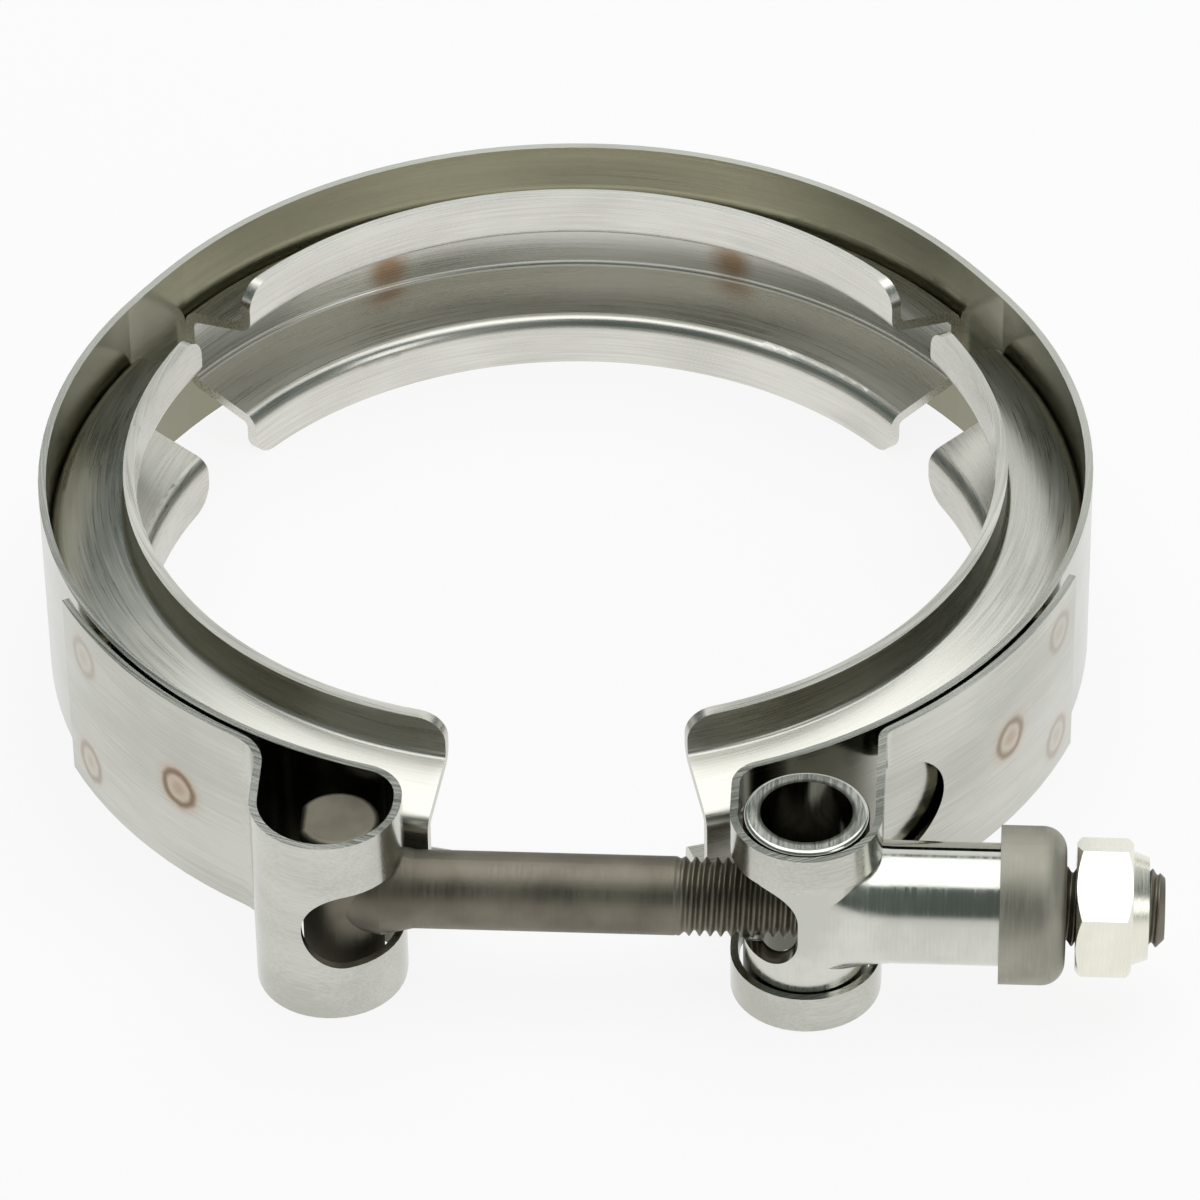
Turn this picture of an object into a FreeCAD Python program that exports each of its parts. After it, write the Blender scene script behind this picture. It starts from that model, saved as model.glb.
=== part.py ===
import FreeCAD, Part
import math
import os
import Sketcher
from FreeCAD import Placement, Rotation, Vector

# T-bolt V-band clamp, sprung a little open.
# Frame: +Z up along the axis of the joint that the clamp closes, origin at mid-height on the
# axis of the rear retainer, X along the T-bolt, the bolt and its loops at the front (-Y).
# Angles of the band are turned from the middle of its back (+Y) towards each side.

doc = FreeCAD.newDocument("v_band_clamp")
sheet = doc.addObject("Spreadsheet::Sheet", "Sizes")

SIZES = [
    # outer band: one strip
    ("band_radius", 53.0, "outer radius of the band where a retainer backs it"),
    ("band_thickness", 0.8, "sheet of the band"),
    ("band_width", 22.4, "height of the strip"),
    ("spring_open", 4.1, "how far each side's centre has moved from the rear one"),
    ("tail_gap", 0.5, "space between a folded tail and the band, bridged by the welds"),
    ("loop_radius", 7.6, "outer radius of the front of both loops"),
    ("loop_offset", 6.2, "centre of the front of both loops, beyond the band's radius"),
    ("left_loop_x", 20.4, "distance of the T-head's loop from the middle"),
    ("right_loop_x", 27.4, "distance of the trunnion's loop from the middle"),
    ("left_corner", 4.4, "bend from the band into the left loop, beside the front gap"),
    ("right_corner", 3.2, "bend from the band into the right loop, beside the front gap"),
    ("left_tail_bend", 5.0, "bend from the left loop's far wall into the tail"),
    ("right_tail_bend", 2.0, "bend from the right loop's far wall into the tail"),
    ("left_tail_end", 118.0, "angle where the left tail ends"),
    ("right_tail_end", 109.0, "angle where the right tail ends"),
    ("left_window_height", 9.4, "slot for the bolt's shank"),
    ("left_window_end", 22.6, "distance of the slot's round end from the middle"),
    ("right_window_height", 13.9, "slot for the trunnion's sleeve"),
    ("right_window_end", 40.8, "distance of the slot's round end, in the tail"),
    ("weld_diameter", 4.6, "spot weld between tail and band"),
    ("weld_spread", 7.0, "height of the paired welds above and below the middle"),
    ("left_weld_pair", 123.0, "angle of the left pair"),
    ("left_weld_single", 140.0, "angle of the left single weld"),
    ("right_weld_pair", 113.5, "angle of the right pair"),
    ("right_weld_single", 124.0, "angle of the right single weld"),
    # V retainers: roll-formed channel, three lengths of it
    ("retainer_thickness", 1.2, "sheet of the channel"),
    ("base_half_width", 4.3, "half of the flat base, to the bend's corner"),
    ("lip_inset", 8.9, "outer face of the lips, inside the band's radius"),
    ("lip_height", 22.86, "height over both lips"),
    ("leg_angle", 15.0, "splay of each leg from the flat plane of the joint"),
    ("retainer_bend", 1.3, "bend radius on the sheet's middle"),
    ("lip_corner", 2.8, "rounding of the lips' free corners"),
    ("left_gap_start", 56.3, "angle where the rear retainer ends on the left"),
    ("left_gap_end", 62.6, "angle where the left retainer begins"),
    ("left_front_end", 170.5, "angle where the left retainer ends at the front"),
    ("right_gap_start", 51.7, "angle where the rear retainer ends on the right"),
    ("right_gap_end", 55.9, "angle where the right retainer begins"),
    ("right_front_end", 163.5, "angle where the right retainer ends at the front"),
    # T-bolt
    ("bolt_offset", 6.5, "line of the bolt, beyond the band's radius"),
    ("bolt_diameter", 7.94, "shank and thread"),
    ("head_x", -19.2, "axis of the T-head"),
    ("head_diameter", 8.4, "T-head, a cross cylinder"),
    ("head_length", 18.2, "T-head, end to end"),
    ("head_rounding", 0.7, "edge of the T-head's ends"),
    ("head_flat", 3.7, "distance of the flat on the T-head's far side from its axis"),
    ("neck_diameter", 9.4, "flare of the shank where it leaves the head"),
    ("neck_length", 3.2, "length of the flare beyond the head"),
    ("bolt_reach", 82.3, "from the head's axis to the end of the thread"),
    ("bolt_end_chamfer", 0.9, "lead of the thread"),
    # trunnion: a barrel and a sleeve in one formed sheet
    ("barrel_diameter", 12.6, "outside of the upright barrel"),
    ("barrel_bore", 9.2, "inside of the upright barrel"),
    ("barrel_height", 22.0, "length of the barrel"),
    ("barrel_lift", 0.5, "height of the barrel's middle above the bolt's line"),
    ("barrel_rounding", 0.5, "edge of the barrel's ends"),
    ("sleeve_diameter", 12.3, "outside of the sleeve"),
    ("sleeve_bore", 8.9, "way for the bolt through barrel and sleeve"),
    ("sleeve_reach", 24.6, "from the barrel's axis to the sleeve's end"),
    ("flare_half_height", 8.4, "half height of the flare at the barrel's axis"),
    ("flare_corner", 4.0, "corner of the flare's section at the barrel's axis"),
    ("flare_reach", 8.4, "from the barrel's axis to where the flare meets the sleeve"),
    ("entry_slot_height", 9.6, "slot round the barrel's front where the bolt enters"),
    ("entry_slot_corner", 3.6, "round corners of that slot"),
    ("entry_slot_lift", 0.8, "height of that slot's middle above the bolt's line"),
    ("entry_slot_end", 0.6, "distance of the slot's end from the barrel's axis"),
    ("seam_width", 0.6, "seam along the sleeve where the folded sheet's edges meet"),
    ("seam_angle", 12.0, "lean of the seam from the top towards the back"),
    # collar pressed on the sleeve
    ("collar_diameter", 15.9, "outside of the collar"),
    ("collar_length", 6.6, "length of the collar"),
    ("collar_end_wall", 1.3, "wall that the nut bears on"),
    ("collar_rounding", 2.4, "round edge of the closed end"),
    # lock nut
    ("nut_flats", 12.7, "across flats"),
    ("nut_height", 5.6, "height of the hexagon"),
    ("nut_standoff", 1.0, "thread left bare between collar and nut"),
    ("crown_diameter", 11.4, "base of the locking crown"),
    ("crown_tip_diameter", 10.2, "tip of the locking crown"),
    ("crown_height", 1.6, "height of the locking crown"),
    ("nut_chamfer_angle", 30.0, "chamfer of the hexagon's corners"),
    ("thread_clearance", 0.05, "running clearance between thread and nut, on the radius"),
    ("nut_bore_chamfer", 0.5, "lead at the nut's seat"),
]
for row, (alias, value, meaning) in enumerate(SIZES, start=1):
    sheet.set("A%d" % row, alias)
    sheet.set("B%d" % row, str(value))
    sheet.set("C%d" % row, meaning)
    sheet.setAlias("B%d" % row, alias)
doc.recompute()


def size(alias):
    return float(sheet.get(alias))


# ---------------------------------------------------------------- helpers

NEARLY_ROUND = 0.1  # half of the flats that the flare's round end keeps, so both ends match
CUT_PAST = 1.5  # how far a turned cut runs past the outside of the piece


def plane(body, role):
    for feature in body.Origin.OriginFeatures:
        if feature.Role == role:
            return feature
    raise ValueError(role)


def new_body(label, placement=None):
    body = doc.addObject("PartDesign::Body", label)
    body.Label = label
    if placement is not None:
        body.Placement = placement
    return body


def new_sketch(body, name, role):
    sketch = body.newObject("Sketcher::SketchObject", name)
    sketch.AttachmentSupport = [(plane(body, role), "")]
    sketch.MapMode = "FlatFace"
    return sketch


def bind_constraint(sketch, constraint, name, formula):
    index = sketch.addConstraint(constraint)
    sketch.renameConstraint(index, name)
    sketch.setExpression("Constraints." + name, formula)


def polar(centre, radius, degrees):
    turn = math.radians(degrees)
    return centre + Vector(math.cos(turn), math.sin(turn), 0) * radius


class Bend:
    """One stretch of a bent sheet: an arc about centre, swept from start to end degrees."""

    def __init__(self, centre, radius, start, end):
        self.centre = centre
        self.radius = radius
        self.start = start
        self.end = end

    def side(self, shift):
        # shift is to the left of the direction of travel
        outward = -shift if self.end > self.start else shift
        radius = self.radius + outward
        middle = (self.start + self.end) / 2
        points = [polar(self.centre, radius, turn) for turn in (self.start, middle, self.end)]
        return Part.Arc(*points), points[0], points[2]


class Run:
    """One straight stretch of a bent sheet."""

    def __init__(self, start, end):
        self.start = start
        self.end = end

    def side(self, shift):
        along = (self.end - self.start).normalize()
        offset = Vector(-along.y, along.x, 0) * shift
        first = self.start + offset
        last = self.end + offset
        return Part.LineSegment(first, last), first, last


def mirrored(path):
    result = []
    for piece in path:
        if isinstance(piece, Bend):
            centre = Vector(-piece.centre.x, piece.centre.y, 0)
            result.append(Bend(centre, piece.radius, 180 - piece.start, 180 - piece.end))
        else:
            flipped = [Vector(-point.x, point.y, 0) for point in (piece.start, piece.end)]
            result.append(Run(*flipped))
    return result


def add_sheet_outline(sketch, path, thickness_alias, bound_radius, formula):
    """Closed outline of a bent sheet: both faces of the path and its two cut ends.

    The first bend whose face has bound_radius is bound to the sheet by formula.
    """
    half = size(thickness_alias) / 2
    faces = [[piece.side(half) for piece in path], [piece.side(-half) for piece in path]]
    chain = [item[0] for item in faces[0]]
    chain.append(Part.LineSegment(faces[0][-1][2], faces[1][-1][2]))
    chain += [item[0] for item in reversed(faces[1])]
    chain.append(Part.LineSegment(faces[1][0][1], faces[0][0][1]))
    sketch.addGeometry(chain, False)
    drawn = sketch.Geometry
    bends = [index for index, item in enumerate(drawn) if isinstance(item, Part.ArcOfCircle)]
    bound = [index for index in bends if abs(drawn[index].Radius - bound_radius) < 1e-6][0]
    join_ends(sketch, free=bound)
    bind_constraint(sketch, Sketcher.Constraint("Radius", bound, bound_radius), "bend", formula)


def join_ends(sketch, free=None):
    """Joins a closed chain and fixes every piece where it is drawn, except the one named free."""
    count = sketch.GeometryCount
    for index in range(count):
        if index != free:
            sketch.addConstraint(Sketcher.Constraint("Block", index))
    for index in range(count):
        after = (index + 1) % count
        near = closest_ends(sketch, index, after)
        sketch.addConstraint(Sketcher.Constraint("Coincident", index, near[0], after, near[1]))


def closest_ends(sketch, first, second):
    pairs = [(a, b) for a in (1, 2) for b in (1, 2)]
    return min(pairs, key=lambda pair: sketch.getPoint(first, pair[0]).distanceToPoint(
        sketch.getPoint(second, pair[1])))


def add_polygon(sketch, points):
    closed = points + points[:1]
    lines = [Part.LineSegment(a, b) for a, b in zip(closed, closed[1:])]
    sketch.addGeometry(lines, False)
    join_ends(sketch)


def add_rounded_box(sketch, half_x, half_y, corner, centre=Vector(0, 0, 0)):
    """Rectangle with round corners, in eight pieces."""
    chain = []
    for quarter in range(4):
        sign_x = 1 if quarter in (0, 3) else -1
        sign_y = 1 if quarter in (0, 1) else -1
        middle = centre + Vector(sign_x * (half_x - corner), sign_y * (half_y - corner), 0)
        turns = [90 * quarter + step for step in (0, 45, 90)]
        chain.append(Part.Arc(*[polar(middle, corner, turn) for turn in turns]))
    pieces = []
    for index, arc in enumerate(chain):
        after = chain[(index + 1) % 4]
        pieces += [arc, Part.LineSegment(arc.EndPoint, after.StartPoint)]
    sketch.addGeometry(pieces, False)
    join_ends(sketch)


def add_circle(sketch, centre, formula, name):
    circle = sketch.addGeometry(Part.Circle(centre, Vector(0, 0, 1), 1.0), False)
    if centre.Length == 0:
        sketch.addConstraint(Sketcher.Constraint("Coincident", circle, 3, -1, 1))
    bind_constraint(sketch, Sketcher.Constraint("Diameter", circle, 2.0), name, formula)


def add_slot(sketch, start_x, end_x, height_alias):
    """Slot along the sketch's x axis, square at start_x and round at end_x."""
    half = size(height_alias) / 2
    toward = 1 if end_x > start_x else -1
    centre = Vector(end_x - toward * half, 0, 0)
    top = Vector(0, half, 0)
    tip = Part.Arc(centre + top, Vector(end_x, 0, 0), centre - top)
    chain = [
        Part.LineSegment(Vector(start_x, half, 0), centre + top),
        tip,
        Part.LineSegment(centre - top, Vector(start_x, -half, 0)),
        Part.LineSegment(Vector(start_x, -half, 0), Vector(start_x, half, 0)),
    ]
    sketch.addGeometry(chain, False)
    join_ends(sketch)


def pad(body, sketch, name, length_formula, symmetric=True):
    feature = body.newObject("PartDesign::Pad", name)
    feature.Profile = sketch
    feature.Midplane = symmetric
    feature.setExpression("Length", length_formula)
    return feature


def pocket_through(body, sketch, name):
    """Cut through the whole body, both ways from the sketch."""
    doc.recompute()
    before = body.Shape.Volume
    feature = body.newObject("PartDesign::Pocket", name)
    feature.Profile = sketch
    feature.Type = 1
    feature.Midplane = True
    doc.recompute()
    require_cut(body, before, name)
    return feature


def pocket_forward(body, sketch, name):
    """Cut only from the sketch towards the front."""
    doc.recompute()
    before = body.Shape.Volume
    feature = body.newObject("PartDesign::Pocket", name)
    feature.Profile = sketch
    feature.Type = 1
    feature.Reversed = True
    doc.recompute()
    require_cut(body, before, name)
    return feature


def require_cut(body, before, name):
    if not body.Shape.Volume < before - 0.01:
        raise ValueError(name + " cuts nothing")


def revolve(body, sketch, name, axis_role, kind="PartDesign::Revolution"):
    feature = body.newObject(kind, name)
    feature.Profile = sketch
    feature.ReferenceAxis = (plane(body, axis_role), [""])
    feature.Angle = 360.0
    return feature


def cut_round(body, sketch, name):
    """Groove turned about the body's X axis."""
    doc.recompute()
    before = body.Shape.Volume
    revolve(body, sketch, name, "X_Axis", "PartDesign::Groove")
    doc.recompute()
    require_cut(body, before, name)


def round_edges(body, name, chosen, formula, kind="PartDesign::Fillet", prop="Radius"):
    """Fillet or chamfer the edges of the body that the function chosen accepts."""
    doc.recompute()
    base = body.Tip
    names = ["Edge%d" % (n + 1) for n, edge in enumerate(base.Shape.Edges) if chosen(edge)]
    if not names:
        raise ValueError(name + " finds no edge")
    feature = body.newObject(kind, name)
    feature.Base = (base, names)
    feature.setExpression(prop, formula)
    return feature


# ---------------------------------------------------------------- band: plan geometry

middle_radius = size("band_radius") - size("band_thickness") / 2
loop_y = -size("band_radius") - size("loop_offset")
bolt_y = -size("band_radius") - size("bolt_offset")


def side_centre(gap_start, gap_end):
    """Centre of one side's arc: the free strip in the hinge gap is straighter than the rest."""
    middle = math.radians((gap_start + gap_end) / 2)
    return Vector(math.cos(middle), -math.sin(middle), 0) * size("spring_open")


def gap_radius(gap_start, gap_end):
    half_turn = math.radians(gap_end - gap_start) / 2
    return middle_radius + size("spring_open") / (2 * math.sin(half_turn))


def side_values(side):
    """Values of one side, measured as on the right-hand one (x positive)."""
    start = size(side + "_gap_start")
    end = size(side + "_gap_end")
    return {
        "start": start,
        "end": end,
        "centre": side_centre(start, end),
        "loop_x": size(side + "_loop_x"),
        "corner": size(side + "_corner"),
        "tail_bend": size(side + "_tail_bend"),
        "tail_end": size(side + "_tail_end"),
    }


def loop_middle_radius():
    return size("loop_radius") - size("band_thickness") / 2


def loop_centre(values):
    return Vector(values["loop_x"], loop_y, 0)


def corner_centre(values):
    """Centre of the bend from the band's side arc into the loop, and whether a wall follows.

    Where there is room, the bend runs into a straight wall beside the gap. A loop that lies
    close to the band has none, and the bend runs into the loop's own arc.
    """
    bend = values["corner"]
    centre = values["centre"]
    reach = middle_radius + bend
    x = values["loop_x"] - loop_middle_radius() + bend
    corner = Vector(x, centre.y - math.sqrt(reach ** 2 - (x - centre.x) ** 2), 0)
    if corner.y >= loop_y:
        return corner, True
    line = loop_centre(values) - centre
    inner = loop_middle_radius() - bend
    along = (line.Length ** 2 + reach ** 2 - inner ** 2) / (2 * line.Length)
    across = math.sqrt(reach ** 2 - along ** 2)
    ahead = Vector(line).normalize()
    aside = Vector(ahead.y, -ahead.x, 0)
    return centre + ahead * along + aside * across, False


def bearing(origin, point):
    """Angle in degrees of point about origin."""
    return math.degrees(math.atan2(point.y - origin.y, point.x - origin.x))


def band_half(values):
    """Middle line of the strip from the back's centre to the front corner, right-hand side."""
    start = values["start"]
    end = values["end"]
    origin = Vector(0, 0, 0)
    radius = gap_radius(start, end)
    gap_centre = polar(origin, middle_radius - radius, 90 - start)
    corner = bearing(values["centre"], corner_centre(values)[0])
    return [
        Bend(origin, middle_radius, 90, 90 - start),
        Bend(gap_centre, radius, 90 - start, 90 - end),
        Bend(values["centre"], middle_radius, 90 - end, corner),
    ]


def reversed_path(path):
    result = []
    for piece in reversed(path):
        if isinstance(piece, Bend):
            result.append(Bend(piece.centre, piece.radius, piece.end, piece.start))
        else:
            result.append(Run(piece.end, piece.start))
    return result


def loop_path(values):
    """Middle line from the front corner round the loop and back along the band as a tail."""
    centre = values["centre"]
    radius = loop_middle_radius()
    middle = loop_centre(values)
    near_wall = middle.x - radius
    far_wall = middle.x + radius
    corner, has_wall = corner_centre(values)
    tail_radius = middle_radius + size("band_thickness") + size("tail_gap")
    bend_radius = values["tail_bend"]
    bend_x = far_wall + bend_radius
    reach = tail_radius + bend_radius
    bend_y = centre.y - math.sqrt(reach ** 2 - (bend_x - centre.x) ** 2)
    bend = Vector(bend_x, bend_y, 0)
    turn_in = bearing(corner, centre)
    if has_wall:
        near = [
            Bend(corner, values["corner"], turn_in, 180),
            Run(Vector(near_wall, corner.y, 0), Vector(near_wall, middle.y, 0)),
            Bend(middle, radius, 180, 360),
        ]
    else:
        turn_over = bearing(middle, corner) % 360
        near = [
            Bend(corner, values["corner"], turn_in, turn_over),
            Bend(middle, radius, turn_over, 360),
        ]
    far = [
        Run(Vector(far_wall, middle.y, 0), Vector(far_wall, bend_y, 0)),
        Bend(bend, bend_radius, 180, bearing(bend, centre)),
        Bend(centre, tail_radius, bearing(centre, bend), 90 - values["tail_end"]),
    ]
    return near + far


# ---------------------------------------------------------------- outer band

def make_strip(label, path, radius_alias):
    body = new_body(label)
    sketch = new_sketch(body, label + "_plan", "XY_Plane")
    add_sheet_outline(sketch, path, "band_thickness", size(radius_alias), "Sizes." + radius_alias)
    pad(body, sketch, label + "_strip", "Sizes.band_width")
    return body


def make_loop(side, sign):
    values = side_values(side)
    path = loop_path(values)
    if sign < 0:
        path = mirrored(path)
    body = make_strip(side + "_loop", path, "loop_radius")
    pocket_through(body, window_outline(body, side, sign), side + "_window")
    return body


def window_outline(body, side, sign):
    """Slot as seen from the front, open towards the gap and round at its far end."""
    sketch = new_sketch(body, side + "_window_outline", "XZ_Plane")
    near = size(side + "_loop_x") - 2 * size("loop_radius")
    add_slot(sketch, sign * near, sign * size(side + "_window_end"), side + "_window_height")
    return sketch


def make_welds(side, sign):
    """Short plugs through both layers, flush with the tail's outside."""
    values = side_values(side)
    centre = Vector(sign * values["centre"].x, values["centre"].y, 0)
    spots = [
        (size(side + "_weld_pair"), size("weld_spread"), "upper"),
        (size(side + "_weld_pair"), -size("weld_spread"), "lower"),
        (size(side + "_weld_single"), 0.0, "single"),
    ]
    for degrees, height, name in spots:
        turn = math.radians(degrees)
        outward = Vector(sign * math.sin(turn), math.cos(turn), 0)
        weld = doc.addObject("Part::Cylinder", side + "_weld_" + name)
        weld.setExpression("Radius", "Sizes.weld_diameter / 2")
        weld.setExpression("Height", "Sizes.band_thickness + Sizes.tail_gap")
        foot = centre + outward * middle_radius + Vector(0, 0, height)
        weld.Placement = Placement(foot, Rotation(Vector(0, 0, 1), outward))
        yield weld


left = side_values("left")
right = side_values("right")
ring_path = reversed_path(mirrored(band_half(left))) + band_half(right)
ring = make_strip("ring_strip", ring_path, "band_radius")
pocket_forward(ring, window_outline(ring, "left", -1), "neck_relief")
left_loop = make_loop("left", -1)
right_loop = make_loop("right", 1)
welds = list(make_welds("left", -1)) + list(make_welds("right", 1))
outer_band = doc.addObject("Part::MultiFuse", "outer_band")
outer_band.Label = "outer_band"
outer_band.Shapes = [ring, left_loop, right_loop] + welds
outer_band.Refine = True


# ---------------------------------------------------------------- V retainers

def channel_path():
    """Middle line of the channel's section, in radius (x) and height (y), bottom lip first."""
    thickness = size("retainer_thickness")
    bend = size("retainer_bend")
    splay = size("leg_angle")
    top = size("lip_height") / 2
    base_x = size("band_radius") - size("band_thickness") - thickness / 2
    lip_tip = Vector(size("band_radius") - size("lip_inset") - thickness / 2, top, 0)
    base_corner = Vector(base_x, size("base_half_width"), 0)
    along_leg = Vector(-math.cos(math.radians(splay)), math.sin(math.radians(splay)), 0)
    along_lip = Vector(0, 1, 0)
    lip_corner = crossing(base_corner, along_leg, lip_tip, along_lip)
    base_set = bend * math.tan(math.radians(90 - splay) / 2)
    lip_turn = 90 - splay
    lip_set = bend * math.tan(math.radians(lip_turn) / 2)
    base_bend = Vector(base_x - bend, base_corner.y - base_set, 0)
    lip_start = lip_corner + along_lip * lip_set
    lip_bend = lip_start + Vector(bend, 0, 0)
    upper = [
        Run(Vector(base_x, 0, 0), Vector(base_x, base_bend.y, 0)),
        Bend(base_bend, bend, 0, 90 - splay),
        Run(base_corner + along_leg * base_set, lip_corner - along_leg * lip_set),
        Bend(lip_bend, bend, 270 - splay, 180),
        Run(lip_start, lip_tip),
    ]
    lower = []
    for piece in reversed(upper):
        if isinstance(piece, Bend):
            centre = Vector(piece.centre.x, -piece.centre.y, 0)
            lower.append(Bend(centre, piece.radius, -piece.end, -piece.start))
        else:
            start = Vector(piece.end.x, -piece.end.y, 0)
            end = Vector(piece.start.x, -piece.start.y, 0)
            lower.append(Run(start, end))
    whole_base = Run(lower[-1].start, upper[0].end)
    return lower[:-1] + [whole_base] + upper[1:]


def crossing(first, first_way, second, second_way):
    """Point where two lines in the plane meet, each given by a point and a direction."""
    gap = second - first
    cross = first_way.x * second_way.y - first_way.y * second_way.x
    step = (gap.x * second_way.y - gap.y * second_way.x) / cross
    return first + first_way * step


def make_retainer(label, centre, start_degrees, sweep_formula):
    """A length of the channel, turned about centre from start_degrees (0 is +X)."""
    body = new_body(label, Placement(centre, Rotation(Vector(0, 0, 1), start_degrees)))
    section = new_sketch(body, label + "_section", "XZ_Plane")
    outside_bend = size("retainer_bend") + size("retainer_thickness") / 2
    add_sheet_outline(section, channel_path(), "retainer_thickness", outside_bend,
                      "Sizes.retainer_bend + Sizes.retainer_thickness / 2")
    roll = revolve(body, section, label + "_roll", "Z_Axis")
    roll.setExpression("Angle", sweep_formula)
    top = size("lip_height") / 2
    thickness = size("retainer_thickness")

    def lip_corner(edge):
        across_sheet = isinstance(edge.Curve, Part.Line) and abs(edge.Length - thickness) < 0.01
        return across_sheet and abs(edge.CenterOfMass.z) > top - thickness

    round_edges(body, label + "_corners", lip_corner, "Sizes.lip_corner")
    return body


left_centre = Vector(-left["centre"].x, left["centre"].y, 0)
right_centre = right["centre"]
make_retainer("v_retainer_back", Vector(0, 0, 0), 90 - right["start"],
              "Sizes.left_gap_start + Sizes.right_gap_start")
make_retainer("v_retainer_left", left_centre, 90 + left["end"],
              "Sizes.left_front_end - Sizes.left_gap_end")
make_retainer("v_retainer_right", right_centre, 90 - size("right_front_end"),
              "Sizes.right_front_end - Sizes.right_gap_end")


# ---------------------------------------------------------------- T-bolt

def make_t_bolt():
    """Forged T-bolt: a cross cylinder, a flared neck, a plain shank and a threaded end."""
    place = Placement(Vector(size("head_x"), bolt_y, 0), Rotation())
    body = new_body("t_bolt", place)
    head = new_sketch(body, "head_outline", "XY_Plane")
    head_radius = size("head_diameter") / 2
    flat_y = math.sqrt(head_radius ** 2 - size("head_flat") ** 2)
    flat_ends = [Vector(-size("head_flat"), y, 0) for y in (-flat_y, flat_y)]
    front = Vector(head_radius, 0, 0)
    turn = bearing(Vector(0, 0, 0), flat_ends[1]) / 2
    head.addGeometry([
        Part.Arc(flat_ends[0], polar(Vector(0, 0, 0), head_radius, -turn), front),
        Part.Arc(front, polar(Vector(0, 0, 0), head_radius, turn), flat_ends[1]),
        Part.LineSegment(flat_ends[1], flat_ends[0]),
    ], False)
    join_ends(head)
    pad(body, head, "cross_head", "Sizes.head_length")
    half_length = size("head_length") / 2
    round_edges(body, "head_edges", lambda edge: abs(edge.CenterOfMass.z) > half_length - 1e-3,
                "Sizes.head_rounding")
    radius = size("bolt_diameter") / 2
    reach = size("bolt_reach")
    lead = size("bolt_end_chamfer")
    head_side = size("head_diameter") / 2
    neck = head_side + size("neck_length")
    shank = new_sketch(body, "shank_profile", "XZ_Plane")
    add_polygon(shank, [
        Vector(0, 0, 0),
        Vector(reach, 0, 0),
        Vector(reach, radius - lead, 0),
        Vector(reach - lead, radius, 0),
        Vector(neck, radius, 0),
        Vector(head_side, size("neck_diameter") / 2, 0),
        Vector(0, radius, 0),
    ])
    revolve(body, shank, "shank", "X_Axis")
    return body


make_t_bolt()


# ---------------------------------------------------------------- trunnion

def make_trunnion():
    """Formed sheet: upright barrel in the right loop, flared into a sleeve for the bolt."""
    place = Placement(Vector(size("right_loop_x"), bolt_y, 0), Rotation())
    body = new_body("trunnion", place)
    barrel = new_sketch(body, "barrel_outline", "XY_Plane")
    barrel.setExpression("AttachmentOffset.Base.z", "Sizes.barrel_lift")
    add_circle(barrel, Vector(0, 0, 0), "Sizes.barrel_diameter", "barrel")
    pad(body, barrel, "barrel", "Sizes.barrel_height")
    round_edges(body, "barrel_edges", lambda edge: True, "Sizes.barrel_rounding")

    half_width = size("sleeve_diameter") / 2
    extra = size("flare_half_height") - half_width
    round_corner = half_width - NEARLY_ROUND
    sections = []
    for name, share in (("root", 0.0), ("waist", 0.5), ("end", 1.0)):
        left_over = (1 - share) ** 2
        section = new_sketch(body, "flare_" + name, "YZ_Plane")
        section.setExpression("AttachmentOffset.Base.z", "Sizes.flare_reach * %s" % share)
        corner = round_corner - (round_corner - size("flare_corner")) * left_over
        add_rounded_box(section, half_width, half_width + extra * left_over, corner)
        sections.append(section)
    flare = body.newObject("PartDesign::AdditiveLoft", "flare")
    flare.Profile = sections[0]
    flare.Sections = sections[1:]

    sleeve = new_sketch(body, "sleeve_outline", "YZ_Plane")
    add_circle(sleeve, Vector(0, 0, 0), "Sizes.sleeve_diameter", "sleeve")
    pad(body, sleeve, "sleeve", "Sizes.sleeve_reach", symmetric=False)

    bore = new_sketch(body, "barrel_bore_outline", "XY_Plane")
    add_circle(bore, Vector(0, 0, 0), "Sizes.barrel_bore", "bore")
    pocket_through(body, bore, "barrel_bore")
    way = new_sketch(body, "bolt_way_outline", "YZ_Plane")
    add_circle(way, Vector(0, 0, 0), "Sizes.sleeve_bore", "way")
    pocket_through(body, way, "bolt_way")

    slot = new_sketch(body, "entry_outline", "XZ_Plane")
    reach = size("barrel_diameter")
    add_rounded_box(slot, reach, size("entry_slot_height") / 2, size("entry_slot_corner"),
                    Vector(-size("entry_slot_end") - reach, size("entry_slot_lift"), 0))
    pocket_forward(body, slot, "entry_slot")

    doc.recompute()
    before = body.Shape.Volume
    seam = body.newObject("PartDesign::SubtractiveBox", "seam")
    seam.setExpression("Length", "Sizes.sleeve_reach")
    seam.setExpression("Width", "Sizes.seam_width")
    seam.setExpression("Height", "Sizes.sleeve_diameter")
    lean = Rotation(Vector(1, 0, 0), -size("seam_angle"))
    corner = lean.multVec(Vector(0, -size("seam_width") / 2, 0))
    start = Vector(size("barrel_diameter") / 2, 0, 0)
    seam.Placement = Placement(start + corner, lean)
    doc.recompute()
    require_cut(body, before, "seam")
    return body


make_trunnion()


# ---------------------------------------------------------------- collar

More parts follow.
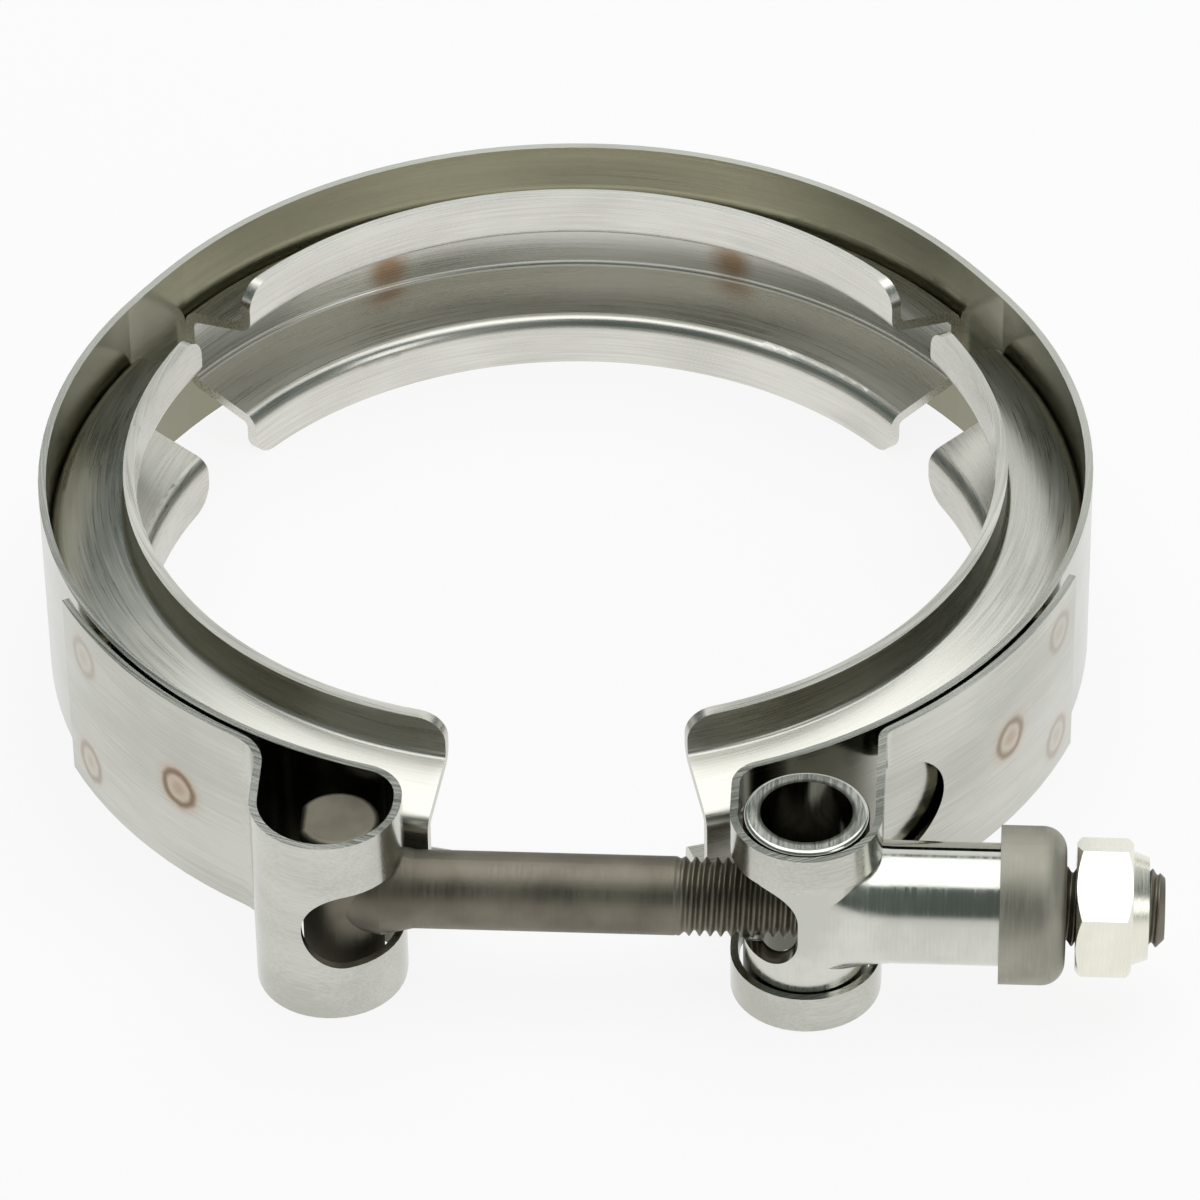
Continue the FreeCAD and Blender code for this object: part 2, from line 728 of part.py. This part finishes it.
def make_collar():
    """Drawn cup, pressed over the sleeve's end to hold the folded sheet together."""
    end_x = size("right_loop_x") + size("sleeve_reach") + size("collar_end_wall")
    start_x = end_x - size("collar_length")
    body = new_body("end_collar", Placement(Vector(start_x, bolt_y, 0), Rotation()))
    length = size("collar_length")
    outer = size("collar_diameter") / 2
    inner = size("sleeve_diameter") / 2
    hole = size("sleeve_bore") / 2
    floor_x = length - size("collar_end_wall")
    rounding = size("collar_rounding")
    section = new_sketch(body, "collar_section", "XZ_Plane")
    knee = rounding * (1 - math.cos(math.radians(45)))
    section.addGeometry([
        Part.LineSegment(Vector(0, inner, 0), Vector(floor_x, inner, 0)),
        Part.LineSegment(Vector(floor_x, inner, 0), Vector(floor_x, hole, 0)),
        Part.LineSegment(Vector(floor_x, hole, 0), Vector(length, hole, 0)),
        Part.LineSegment(Vector(length, hole, 0), Vector(length, outer - rounding, 0)),
        Part.Arc(Vector(length, outer - rounding, 0),
                 Vector(length - knee, outer - knee, 0),
                 Vector(length - rounding, outer, 0)),
        Part.LineSegment(Vector(length - rounding, outer, 0), Vector(0, outer, 0)),
        Part.LineSegment(Vector(0, outer, 0), Vector(0, inner, 0)),
    ], False)
    join_ends(section, free=4)
    bind_constraint(section, Sketcher.Constraint("Radius", 4, rounding), "rounding",
                    "Sizes.collar_rounding")
    revolve(body, section, "collar_cup", "X_Axis")
    return body


make_collar()


# ---------------------------------------------------------------- lock nut

def make_lock_nut():
    """Hexagon with chamfered corners and a conical locking crown, seat towards the collar."""
    collar_end = size("right_loop_x") + size("sleeve_reach") + size("collar_end_wall")
    seat_x = collar_end + size("nut_standoff")
    body = new_body("lock_nut", Placement(Vector(seat_x, bolt_y, 0), Rotation()))
    hexagon = new_sketch(body, "hexagon_outline", "YZ_Plane")
    corner_radius = size("nut_flats") / math.sqrt(3)
    corners = [polar(Vector(0, 0, 0), corner_radius, 90 + 60 * n) for n in range(6)]
    add_polygon(hexagon, corners)
    pad(body, hexagon, "hexagon", "Sizes.nut_height", symmetric=False)
    crown = new_sketch(body, "crown_profile", "XZ_Plane")
    height = size("nut_height")
    tip = height + size("crown_height")
    add_polygon(crown, [
        Vector(0, 0, 0),
        Vector(tip, 0, 0),
        Vector(tip, size("crown_tip_diameter") / 2, 0),
        Vector(height, size("crown_diameter") / 2, 0),
        Vector(0, size("crown_diameter") / 2, 0),
    ])
    revolve(body, crown, "crown", "X_Axis")
    flat_radius = size("nut_flats") / 2
    slope = math.tan(math.radians(size("nut_chamfer_angle")))
    outside = corner_radius + CUT_PAST
    drop = (outside - flat_radius) * slope
    chamfer = new_sketch(body, "corner_chamfers", "XZ_Plane")
    add_polygon(chamfer, [
        Vector(0, flat_radius, 0),
        Vector(drop, outside, 0),
        Vector(0, outside, 0),
    ])
    cut_round(body, chamfer, "seat_chamfer")
    back = new_sketch(body, "back_chamfers", "XZ_Plane")
    add_polygon(back, [
        Vector(height, flat_radius, 0),
        Vector(height, outside, 0),
        Vector(height - drop, outside, 0),
    ])
    cut_round(body, back, "back_chamfer")
    bore = new_sketch(body, "bore_outline", "YZ_Plane")
    add_circle(bore, Vector(0, 0, 0), "Sizes.bolt_diameter + 2 * Sizes.thread_clearance", "bore")
    pocket_through(body, bore, "thread_bore")
    bore_radius = size("bolt_diameter") / 2 + size("thread_clearance")

    def seat_edge(edge):
        if not isinstance(edge.Curve, Part.Circle):
            return False
        return abs(edge.Curve.Radius - bore_radius) < 1e-4 and abs(edge.Curve.Center.x) < 1e-4

    round_edges(body, "bore_lead", seat_edge, "Sizes.nut_bore_chamfer",
                "PartDesign::Chamfer", "Size")
    return body


make_lock_nut()


# ---------------------------------------------------------------- checks and files

doc.recompute()
NODES = [
    "outer_band",
    "v_retainer_left",
    "v_retainer_back",
    "v_retainer_right",
    "t_bolt",
    "trunnion",
    "end_collar",
    "lock_nut",
]
for item in doc.Objects:
    if "Invalid" in item.State or "Error" in item.State:
        raise RuntimeError(item.Label + " failed: " + str(item.State))
os.makedirs("parts", exist_ok=True)
for label in NODES:
    shape = doc.getObjectsByLabel(label)[0].Shape
    if shape.isNull() or not shape.isValid():
        raise RuntimeError(label + " has no valid shape")
    box = shape.BoundBox
    print("%-18s solids %d  volume %9.2f  x %7.2f %7.2f  y %7.2f %7.2f  z %7.2f %7.2f" % (
        label, len(shape.Solids), shape.Volume, box.XMin, box.XMax,
        box.YMin, box.YMax, box.ZMin, box.ZMax))
    shape.exportStep("parts/" + label + ".step")
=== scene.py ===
"""V-band clamp: steel finishes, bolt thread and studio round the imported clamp.

Lengths are metres in the model's frame: X along the bolt, +Z up, the bolt at the front (-Y).
Azimuths are degrees turned from the back (+Y) towards +X.
"""
import math

import bmesh
import bpy
from mathutils import Matrix, Vector


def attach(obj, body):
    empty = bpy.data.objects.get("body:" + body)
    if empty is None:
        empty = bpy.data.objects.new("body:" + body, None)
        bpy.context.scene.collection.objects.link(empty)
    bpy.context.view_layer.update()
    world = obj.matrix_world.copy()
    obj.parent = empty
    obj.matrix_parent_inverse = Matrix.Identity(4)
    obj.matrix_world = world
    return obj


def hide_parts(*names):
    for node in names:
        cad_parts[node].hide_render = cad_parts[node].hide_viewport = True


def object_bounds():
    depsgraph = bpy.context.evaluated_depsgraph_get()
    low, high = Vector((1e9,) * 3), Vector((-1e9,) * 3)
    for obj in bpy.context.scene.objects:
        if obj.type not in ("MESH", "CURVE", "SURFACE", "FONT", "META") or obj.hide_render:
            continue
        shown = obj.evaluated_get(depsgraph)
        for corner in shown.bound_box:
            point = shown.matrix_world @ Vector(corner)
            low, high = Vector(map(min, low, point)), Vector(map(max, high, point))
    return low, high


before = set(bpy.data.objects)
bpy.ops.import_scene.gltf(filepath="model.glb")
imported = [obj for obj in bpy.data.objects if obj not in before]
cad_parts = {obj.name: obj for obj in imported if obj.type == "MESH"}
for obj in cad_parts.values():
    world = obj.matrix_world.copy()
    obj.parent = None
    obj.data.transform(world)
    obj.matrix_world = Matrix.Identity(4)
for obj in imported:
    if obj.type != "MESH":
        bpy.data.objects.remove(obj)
CAD_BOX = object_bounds()

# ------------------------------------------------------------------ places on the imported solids

STRAP_RADIUS = 0.0530       # outside of the strap
STRAP_SHEET = 0.0008
TAIL_GAP = 0.0005           # between the strap and the tails folded back on it
SIDE_SHIFT = 0.0041         # how far each side of the sprung-open ring has moved outwards
LOOP_XS = (-0.0204, 0.0274)
LOOP_Y = -0.0592
BARREL_X = 0.0274
BOLT_Y = -0.0595
RETAINER_BASE_RADIUS = 0.0510

# Spot welds on the tails, for each side: its direction in X, how many degrees in front of the
# X axis it has moved, and for each weld its azimuth, height and how brown it is.
WELDS = (
    (-1, 59.45, ((123.0, 0.007, 0.35), (123.0, -0.007, 0.55), (140.0, 0.0, 1.0))),
    (1, 53.8, ((113.5, 0.007, 0.4), (113.5, -0.007, 0.4), (124.0, 0.0, 0.75))),
)
HEAT_MARK_AZIMUTHS = (-26.4, 17.5)
HEAT_MARK_HEIGHT = -0.0015

# ------------------------------------------------------------------ finishes

FINISHES = {
    "bolt_steel": {"light": (0.235, 0.212, 0.170), "dark": (0.150, 0.135, 0.105),
                   "rough": 0.48, "streaks": 0.15, "relief": 0.12},
    "band_steel": {"light": (0.62, 0.62, 0.57), "dark": (0.48, 0.48, 0.43),
                   "rough": 0.18, "streaks": 0.35, "relief": 0.25},
    "back_retainer_steel": {"light": (0.76, 0.75, 0.70), "dark": (0.60, 0.59, 0.54),
                            "rough": 0.28, "streaks": 0.5, "relief": 0.14},
    "side_retainer_steel": {"light": (0.69, 0.68, 0.63), "dark": (0.53, 0.52, 0.47),
                            "rough": 0.30, "streaks": 0.5, "relief": 0.14},
    "trunnion_steel": {"light": (0.68, 0.68, 0.63), "dark": (0.56, 0.56, 0.51),
                       "rough": 0.17, "streaks": 0.2, "relief": 0.08},
    "collar_steel": {"light": (0.44, 0.42, 0.36), "dark": (0.31, 0.30, 0.25),
                     "rough": 0.56, "streaks": 0.3, "relief": 0.15},
    "nut_steel": {"light": (0.90, 0.88, 0.78), "dark": (0.80, 0.78, 0.68),
                  "rough": 0.26, "streaks": 0.3, "relief": 0.15},
}
RING_ANISOTROPY = 0.3
# Noise per radian round the ring, per metre of radius and per metre of height.
RING_LINES, RING_SLOW = (3.0, 5200.0, 5200.0), (2.2, 90.0, 90.0)
# Noise per metre in X, Y and Z.
BOLT_LINES, BOLT_SLOW = (4200.0, 260.0, 260.0), (110.0, 110.0, 110.0)
GRAIN_SCALE, GRAIN_SHARE = 2600.0, 0.15
TONE_RANGE = (0.36, 0.64)
ROUGH_RANGE, ROUGH_LINE_SHARE = (0.3, 0.7), 0.6
SMOOTHER, ROUGHER = 0.06, 0.08
RELIEF_DEPTH = 0.00003

# Each pair below is where a smooth step starts and ends.
# Painted shade on the strap's inward faces, except near the front, for the shade in the trough
# between strap and retainer lips.
STRAP_INSIDE_PAINTED_SHADE = (0.28, 0.27, 0.20)
INSIDE_FACING, INSIDE_Y = (-0.5, -0.2), (-0.050, -0.044)
# Painted shade on the loops' inner faces, where each loop wraps the part inside it.
LOOP_PAINTED_SHADE = (0.11, 0.11, 0.085)
LOOP_FACING, LOOP_ACROSS, LOOP_FADE_Y = (0.0, 0.002), (0.0072, 0.0076), (-0.048, -0.044)
# Painted shade inside the trunnion's barrel.
BORE_PAINTED_SHADE = (0.15, 0.15, 0.12)
BORE_EDGE = (0.0047, 0.0052)
WELD_HALO, HALO_EDGE, HALO_STRENGTH = (0.50, 0.38, 0.26), (0.0022, 0.0042), 0.6
WELD_RING, RING_STRENGTH = (0.20, 0.13, 0.08), 0.9
RING_INNER, RING_OUTER = (0.0016, 0.0023), (0.0023, 0.0031)
WELD_CORE, CORE_EDGE, CORE_STRENGTH = (0.40, 0.30, 0.21), (0.0006, 0.0016), 0.7
WELD_NOISE, WELD_WOBBLE = 700.0, 0.0006
HEAT_BROWN, HEAT_EDGE, HEAT_STRENGTH = (0.40, 0.23, 0.11), (0.0012, 0.0040), 0.8
HEAT_NOISE, HEAT_WOBBLE = 500.0, 0.0012

# ------------------------------------------------------------------ bolt thread

THREAD_START, THREAD_END = 0.0143, 0.0631
THREAD_CREST = 0.00397
THREAD_PITCH = 0.0254 / 24
THREAD_DEPTH = 0.00058
THREAD_CHAMFER = 0.0009
THREAD_RUN_IN = 1.5 * THREAD_PITCH
THREAD_SIDES = 48
# Depth of cut at equal steps along one pitch, as a share of THREAD_DEPTH.
THREAD_PROFILE = (0.0, 0.0, 0.35, 0.75, 1.0, 1.0, 0.75, 0.35)

# ------------------------------------------------------------------ studio

CAMERA_PLACE = (0.04504, -0.62003, 0.49558)
CAMERA_YAW, CAMERA_ELEVATION, CAMERA_ROLL = 3.85, 39.17, 1.0
LENS_MM, SENSOR_MM = 224.7, 36
CAMERA_REACH = 10
SOFTBOX_DISTANCE = 0.7
SWEEP_COLOUR, ROOM_COLOUR = (0.90, 0.90, 0.89), (0.115, 0.14, 0.13)
ROOM_EDGE = (0.08, 0.34)    # sines of the elevations between which the sweep becomes the room
FLOOR_HALF = 1.5
FLOOR_PALE, FLOOR_PALER = (0.93, 0.93, 0.93), (0.96, 0.96, 0.96)
FLOOR_ROUGHNESS, FLOOR_NOISE = 0.9, 900.0
FLOOR_WHITE = 0.88          # share of the seen floor that is plain white; the rest has shadows


# ------------------------------------------------------------------ node helpers

class Graph:
    """Short names for building one node tree."""

    def __init__(self, tree):
        self.tree = tree
        self.tree.nodes.clear()

    def add(self, kind, **settings):
        node = self.tree.nodes.new(kind)
        for name, value in settings.items():
            setattr(node, name, value)
        return node

    def link(self, source, target):
        """Join two sockets, or set the target to a constant."""
        if hasattr(source, "is_output"):
            self.tree.links.new(source, target)
        else:
            target.default_value = source

    def math(self, operation, first, second=0.0):
        node = self.add("ShaderNodeMath", operation=operation)
        self.link(first, node.inputs[0])
        self.link(second, node.inputs[1])
        return node.outputs[0]

    def vector_math(self, operation, first, second=(0.0, 0.0, 0.0)):
        node = self.add("ShaderNodeVectorMath", operation=operation)
        self.link(first, node.inputs[0])
        self.link(second, node.inputs[1])
        scalar = operation in ("LENGTH", "DISTANCE", "DOT_PRODUCT")
        return node.outputs["Value" if scalar else "Vector"]

    def combine(self, x, y, z):
        node = self.add("ShaderNodeCombineXYZ")
        for socket, value in zip(node.inputs, (x, y, z)):
            self.link(value, socket)
        return node.outputs[0]

    def separate(self, vector):
        node = self.add("ShaderNodeSeparateXYZ")
        self.link(vector, node.inputs[0])
        return node.outputs

    def noise(self, vector, scale, detail=3.0, roughness=0.5):
        node = self.add("ShaderNodeTexNoise")
        self.link(vector, node.inputs["Vector"])
        node.inputs["Scale"].default_value = scale
        node.inputs["Detail"].default_value = detail
        node.inputs["Roughness"].default_value = roughness
        return node.outputs["Fac"]

    def rise(self, value, edge, start=0.0, end=1.0):
        """Smooth step from start to end as the value crosses the edge."""
        node = self.add("ShaderNodeMapRange", interpolation_type="SMOOTHSTEP")
        for name, item in (("Value", value), ("From Min", edge[0]), ("From Max", edge[1]),
                           ("To Min", start), ("To Max", end)):
            self.link(item, node.inputs[name])
        return node.outputs[0]

    def fall(self, value, edge, start=1.0):
        """Smooth step from start down to 0 as the value crosses the edge."""
        return self.rise(value, edge, start, 0.0)

    def mix(self, factor, first, second):
        node = self.add("ShaderNodeMix", data_type="RGBA")
        self.link(factor, node.inputs[0])
        self.link(first, node.inputs[6])
        self.link(second, node.inputs[7])
        return node.outputs[2]

    def weigh(self, first, second, share):
        """The first value's share plus the rest of the second."""
        return self.math("ADD", self.math("MULTIPLY", first, share),
                         self.math("MULTIPLY", second, 1.0 - share))

    def uneven_distance(self, place, point, noise_scale, wobble):
        """Distance from a point, made uneven by a little noise."""
        unevenness = self.math("MULTIPLY", self.noise(place, noise_scale), wobble)
        return self.math("ADD", self.vector_math("DISTANCE", place, tuple(point)), unevenness)


def rgba(red, green, blue):
    return (red, green, blue, 1.0)


def level_vector(azimuth):
    turn = math.radians(azimuth)
    return Vector((math.sin(turn), math.cos(turn), 0))


# ------------------------------------------------------------------ steel

def steel(name, along_ring=False, tint=None):
    """Worked steel: fine lines, slow colour changes and a fine grain.

    The lines run round the frame's Z axis if along_ring is true, as on a rolled piece, and
    otherwise round the bolt, as on a turned one. tint(graph, place, colour) adds marks and painted
    shade.
    """
    finish = FINISHES[name]
    material = bpy.data.materials.new(name)
    material.use_nodes = True
    graph = Graph(material.node_tree)
    out = graph.add("ShaderNodeOutputMaterial")
    shader = graph.add("ShaderNodeBsdfPrincipled")
    graph.link(shader.outputs[0], out.inputs[0])
    shader.inputs["Metallic"].default_value = 1.0
    shader.inputs["Anisotropic"].default_value = RING_ANISOTROPY if along_ring else 0.0

    place = graph.add("ShaderNodeTexCoord").outputs["Object"]
    if along_ring:
        x, y, z = graph.separate(place)
        turn = graph.math("ARCTAN2", y, x)
        radius = graph.vector_math("LENGTH", graph.combine(x, y, 0.0))
        course = graph.combine(turn, radius, z)
        line_scale, slow_scale = RING_LINES, RING_SLOW
    else:
        course = place
        line_scale, slow_scale = BOLT_LINES, BOLT_SLOW
    lines = graph.noise(graph.vector_math("MULTIPLY", course, line_scale), 1.0, 2.0, 0.6)
    slow = graph.noise(graph.vector_math("MULTIPLY", course, slow_scale), 1.0, 3.0, 0.55)
    grain = graph.noise(place, GRAIN_SCALE, 2.0, 0.6)

    tone = graph.rise(graph.weigh(lines, slow, finish["streaks"]), TONE_RANGE)
    colour = graph.mix(tone, rgba(*finish["dark"]), rgba(*finish["light"]))
    if tint is not None:
        colour = tint(graph, place, colour)
    graph.link(colour, shader.inputs["Base Color"])

    roughness = graph.rise(graph.weigh(lines, slow, ROUGH_LINE_SHARE), ROUGH_RANGE,
                           finish["rough"] - SMOOTHER, finish["rough"] + ROUGHER)
    graph.link(roughness, shader.inputs["Roughness"])

    bump = graph.add("ShaderNodeBump")
    bump.inputs["Strength"].default_value = finish["relief"]
    bump.inputs["Distance"].default_value = RELIEF_DEPTH
    height = graph.math("ADD", lines, graph.math("MULTIPLY", grain, GRAIN_SHARE))
    graph.link(height, bump.inputs["Height"])
    graph.link(bump.outputs[0], shader.inputs["Normal"])
    return material


def tail_welds():
    """Middle of each spot weld on the tails' outsides, and how brown it is."""
    for side, forward, welds in WELDS:
        turn = math.radians(forward)
        ring_middle = Vector((side * math.cos(turn), -math.sin(turn), 0)) * SIDE_SHIFT
        for azimuth, height, strength in welds:
            outward = level_vector(side * azimuth) * (STRAP_RADIUS + TAIL_GAP + STRAP_SHEET)
            yield ring_middle + outward + Vector((0, 0, height)), strength


def strap_shade_and_welds(graph, place, colour):
    """Painted shade on the strip's inside, darker painted shade inside the loops, and weld rings.
    """
    x, y, _ = graph.separate(place)
    level_place = graph.combine(x, y, 0.0)
    normal = graph.add("ShaderNodeNewGeometry").outputs["Normal"]

    outward = graph.vector_math("NORMALIZE", level_place)
    facing = graph.vector_math("DOT_PRODUCT", normal, outward)
    # Painted shade: darken the strip's inward faces, except near the front.
    inside = graph.math("MULTIPLY", graph.fall(facing, INSIDE_FACING), graph.rise(y, INSIDE_Y))
    colour = graph.mix(inside, colour, rgba(*STRAP_INSIDE_PAINTED_SHADE))

    # Painted shade: darken the loops' inner faces near the front.
    for loop_x in LOOP_XS:
        inward = graph.vector_math("SUBTRACT", (loop_x, LOOP_Y, 0.0), level_place)
        facing = graph.rise(graph.vector_math("DOT_PRODUCT", normal, inward), LOOP_FACING)
        across = graph.math("ABSOLUTE", graph.math("SUBTRACT", x, loop_x))
        near = graph.math("MULTIPLY", graph.fall(across, LOOP_ACROSS),
                          graph.fall(y, LOOP_FADE_Y))
        colour = graph.mix(graph.math("MULTIPLY", facing, near), colour, rgba(*LOOP_PAINTED_SHADE))

    for point, strength in tail_welds():
        distance = graph.uneven_distance(place, point, WELD_NOISE, WELD_WOBBLE)
        halo = graph.fall(distance, HALO_EDGE, HALO_STRENGTH * strength)
        colour = graph.mix(halo, colour, rgba(*WELD_HALO))
        ring = graph.math("MULTIPLY", graph.rise(distance, RING_INNER),
                          graph.fall(distance, RING_OUTER))
        colour = graph.mix(graph.math("MULTIPLY", ring, RING_STRENGTH * strength), colour,
                           rgba(*WELD_RING))
        core = graph.fall(distance, CORE_EDGE, CORE_STRENGTH * strength)
        colour = graph.mix(core, colour, rgba(*WELD_CORE))
    return colour


def bore_painted_shade(graph, place, colour):
    """Painted shade: the inside of the trunnion's barrel darkened."""
    x, y, _ = graph.separate(graph.vector_math("SUBTRACT", place, (BARREL_X, BOLT_Y, 0.0)))
    radius = graph.vector_math("LENGTH", graph.combine(x, y, 0.0))
    return graph.mix(graph.fall(radius, BORE_EDGE), colour, rgba(*BORE_PAINTED_SHADE))


def heat_marks(graph, place, colour):
    """Brown marks inside the rear retainer's base where it is welded to the strap."""
    for azimuth in HEAT_MARK_AZIMUTHS:
        point = level_vector(azimuth) * RETAINER_BASE_RADIUS + Vector((0, 0, HEAT_MARK_HEIGHT))
        distance = graph.uneven_distance(place, point, HEAT_NOISE, HEAT_WOBBLE)
        mark = graph.fall(distance, HEAT_EDGE, HEAT_STRENGTH)
        colour = graph.mix(mark, colour, rgba(*HEAT_BROWN))
    return colour


def dress(node, material):
    """Give a CAD node this material in the object's own slots."""
    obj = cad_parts[node]
    if not obj.data.materials:
        obj.data.materials.append(material)
    for slot in obj.material_slots:
        slot.link = "OBJECT"
        slot.material = material


# ------------------------------------------------------------------ bolt

def thread_radius(x, phase):
    """Radius of the thread at x, where phase counts steps along THREAD_PROFILE."""
    step = int(phase)
    share = phase - step
    here = THREAD_PROFILE[step % len(THREAD_PROFILE)]
    ahead = THREAD_PROFILE[(step + 1) % len(THREAD_PROFILE)]
    cut = here * (1 - share) + ahead * share
    run_in = min(1.0, (x - THREAD_START) / THREAD_RUN_IN)
    chamfer = max(0.0, x - (THREAD_END - THREAD_CHAMFER))
    return min(THREAD_CREST - THREAD_DEPTH * cut * run_in, THREAD_CREST - chamfer)


def add_thread(work):
    """Closed helical thread round the bolt's axis, from THREAD_START to THREAD_END."""
    rows_per_turn = len(THREAD_PROFILE)
    length = THREAD_END - THREAD_START
    rows = int(round(length / THREAD_PITCH * rows_per_turn))
    rings = []
    for row in range(rows + 1):
        x = THREAD_START + length * row / rows
        ring = []
        for step in range(THREAD_SIDES):
            turn = 2 * math.pi * step / THREAD_SIDES
            phase = (row / rows_per_turn + step / THREAD_SIDES) % 1.0 * rows_per_turn
            radius = thread_radius(x, phase)
            ring.append(work.verts.new((x, BOLT_Y + radius * math.cos(turn),
                                        radius * math.sin(turn))))
        rings.append(ring)
    for low, high in zip(rings, rings[1:]):
        for step in range(THREAD_SIDES):
            after = (step + 1) % THREAD_SIDES
            face = work.faces.new((low[step], high[step], high[after], low[after]))
            face.smooth = True
    work.faces.new(list(reversed(rings[0])))
    work.faces.new(rings[-1])


def add_threaded_bolt():
    """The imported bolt's head and shank, with a real helical thread in place of its plain end."""
    mesh = bpy.data.meshes.new("bolt_threaded")
    work = bmesh.new()
    work.from_mesh(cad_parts["t_bolt"].data)
    everything = work.verts[:] + work.edges[:] + work.faces[:]
    bmesh.ops.bisect_plane(work, geom=everything, plane_co=(THREAD_START, 0, 0),
                           plane_no=(1, 0, 0), clear_outer=True)
    add_thread(work)
    bmesh.ops.recalc_face_normals(work, faces=work.faces[:])
    work.to_mesh(mesh)
    work.free()
    mesh.materials.append(steel("bolt_steel"))
    bolt = bpy.data.objects.new("bolt_threaded", mesh)
    bpy.context.scene.collection.objects.link(bolt)
    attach(bolt, "bolt")
    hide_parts("t_bolt")


# ------------------------------------------------------------------ camera, light and floor

def add_camera():
    """Long lens from the front and 39 degrees above, nearly square to the bolt."""
    yaw, elevation, roll = (math.radians(angle) for angle in
                            (CAMERA_YAW, CAMERA_ELEVATION, CAMERA_ROLL))
    right = Vector((math.cos(yaw), math.sin(yaw), 0))
    up = Vector((-math.sin(yaw) * math.sin(elevation), math.cos(yaw) * math.sin(elevation),
                 math.cos(elevation)))
    back = right.cross(up)
    rolled_right = right * math.cos(roll) - up * math.sin(roll)
    rolled_up = right * math.sin(roll) + up * math.cos(roll)
    data = bpy.data.cameras.new("camera")
    data.sensor_width = SENSOR_MM
    data.lens = LENS_MM
    data.clip_end = CAMERA_REACH
    camera = bpy.data.objects.new("camera", data)
    axes = Matrix((rolled_right, rolled_up, back)).transposed()
    camera.matrix_world = Matrix.Translation(Vector(CAMERA_PLACE)) @ axes.to_4x4()
    bpy.context.scene.collection.objects.link(camera)
    bpy.context.scene.camera = camera


def add_softbox(name, azimuth, elevation, size, radiance):
    """Rectangular softbox that faces the object."""
    lift = math.radians(elevation)
    toward = level_vector(azimuth) * math.cos(lift) + Vector((0, 0, math.sin(lift)))
    data = bpy.data.lights.new(name, "AREA")
    data.shape = "RECTANGLE"
    data.size, data.size_y = size
    data.energy = radiance * math.pi * size[0] * size[1]
    lamp = bpy.data.objects.new(name, data)
    lamp.location = toward * SOFTBOX_DISTANCE
    lamp.rotation_euler = (-toward).to_track_quat("-Z", "Y").to_euler()
    bpy.context.scene.collection.objects.link(lamp)


def add_world():
    """Plain room: a pale sweep up to a little above the horizon, a dim room above it."""
    world = bpy.data.worlds.new("studio")
    bpy.context.scene.world = world
    world.use_nodes = True
    graph = Graph(world.node_tree)
    out = graph.add("ShaderNodeOutputWorld")
    direction = graph.add("ShaderNodeTexCoord").outputs["Generated"]
    _, _, z = graph.separate(graph.vector_math("NORMALIZE", direction))
    room = graph.mix(graph.rise(z, ROOM_EDGE), rgba(*SWEEP_COLOUR), rgba(*ROOM_COLOUR))
    light = graph.add("ShaderNodeBackground")
    graph.link(room, light.inputs["Color"])
    light.inputs["Strength"].default_value = 1.0
    graph.link(light.outputs[0], out.inputs[0])


def floor_paper():
    """Pale paper that lights the object as paper does and is seen mostly as plain white."""
    material = bpy.data.materials.new("floor_paper")
    material.use_nodes = True
    graph = Graph(material.node_tree)
    out = graph.add("ShaderNodeOutputMaterial")
    paper = graph.add("ShaderNodeBsdfPrincipled")
    grain = graph.noise(graph.add("ShaderNodeTexCoord").outputs["Object"], FLOOR_NOISE)
    graph.link(graph.mix(grain, rgba(*FLOOR_PALE), rgba(*FLOOR_PALER)),
               paper.inputs["Base Color"])
    paper.inputs["Roughness"].default_value = FLOOR_ROUGHNESS
    white = graph.add("ShaderNodeEmission")
    white.inputs["Color"].default_value = rgba(1, 1, 1)
    white.inputs["Strength"].default_value = 1.0
    path = graph.add("ShaderNodeLightPath").outputs
    mirrored = graph.math("MAXIMUM", path["Is Glossy Ray"], path["Is Transmission Ray"])
    seen = graph.math("MAXIMUM", path["Is Camera Ray"], mirrored)
    blend = graph.add("ShaderNodeMixShader")
    graph.link(graph.math("MULTIPLY", seen, FLOOR_WHITE), blend.inputs[0])
    graph.link(paper.outputs[0], blend.inputs[1])
    graph.link(white.outputs[0], blend.inputs[2])
    graph.link(blend.outputs[0], out.inputs[0])
    return material


def add_floor():
    """Level square of paper at the foot of the object."""
    mesh = bpy.data.meshes.new("floor")
    level = CAD_BOX[0][2]
    corners = [(x * FLOOR_HALF, y * FLOOR_HALF, level)
               for x, y in ((-1, -1), (1, -1), (1, 1), (-1, 1))]
    mesh.from_pydata(corners, [], [(0, 1, 2, 3)])
    mesh.materials.append(floor_paper())
    floor = bpy.data.objects.new("floor", mesh)
    bpy.context.scene.collection.objects.link(floor)


# ------------------------------------------------------------------ build

bpy.context.scene.view_settings.view_transform = "Standard"
add_camera()
add_world()
add_floor()
add_softbox("overhead", 8, 81, (0.80, 0.86), 1.75)
add_softbox("back", 12, 30, (0.75, 0.28), 0.85)
add_softbox("right_front", 126, 28, (0.22, 0.30), 1.8)

add_threaded_bolt()
dress("outer_band", steel("band_steel", along_ring=True, tint=strap_shade_and_welds))
dress("v_retainer_back", steel("back_retainer_steel", along_ring=True, tint=heat_marks))
for node in ("v_retainer_left", "v_retainer_right"):
    dress(node, steel("side_retainer_steel", along_ring=True))
dress("trunnion", steel("trunnion_steel", tint=bore_painted_shade))
dress("end_collar", steel("collar_steel"))
dress("lock_nut", steel("nut_steel"))
